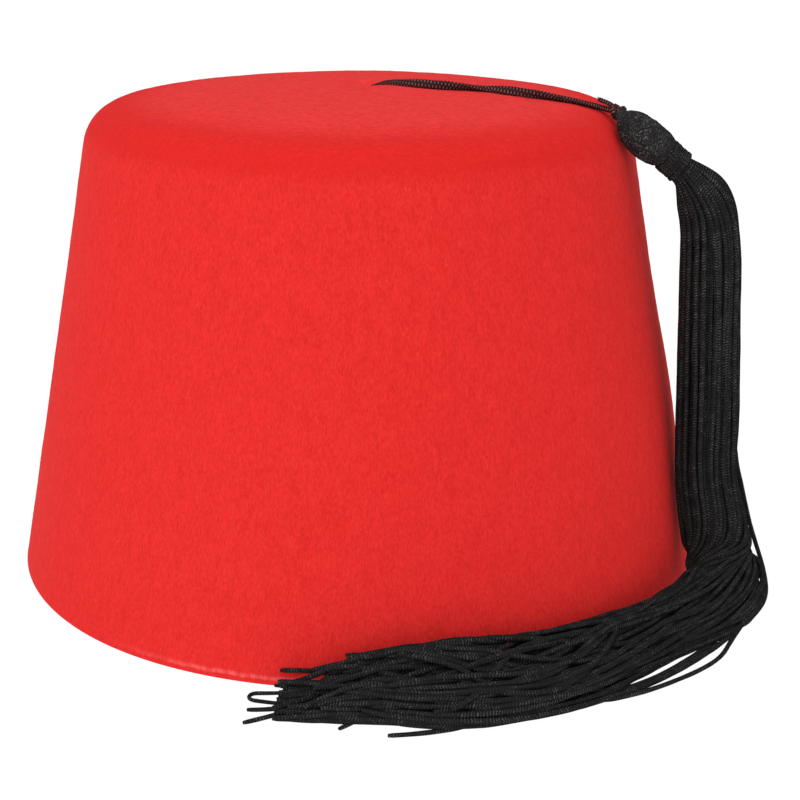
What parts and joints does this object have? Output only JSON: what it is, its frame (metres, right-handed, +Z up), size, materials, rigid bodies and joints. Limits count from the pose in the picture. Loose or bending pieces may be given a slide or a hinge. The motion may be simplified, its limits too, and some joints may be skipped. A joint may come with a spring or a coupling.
{
  "type": "fez hat",
  "caption": "Blocked felt fez, a hollow tapered cap with a flat rim and slightly domed crown, with a flat braided cord and a long strand tassel lying round its front",
  "frame": {"origin": "middle of the lower edge, on the surface that the hat stands on", "axes": "+Z up, +X to the wearer's side where the tassel hangs, -Y to the front where the tassel lies"},
  "size_m": [0.2017, 0.2095, 0.1314],
  "materials": {
    "felt": "matt wool felt with a short upright nap",
    "cord": "flat braid of soft thread that twists along its way",
    "binding": "wound thread with a slight sheen",
    "strands": "chained rayon thread with a soft sheen"
  },
  "bodies": {
    "root": {"felt_cap": "felt", "hanger_cord": "cord", "stop_knot": "cord", "head_knot": "cord", "neck_band": "binding", "tassel": "strands"}
  },
  "joints": []
}
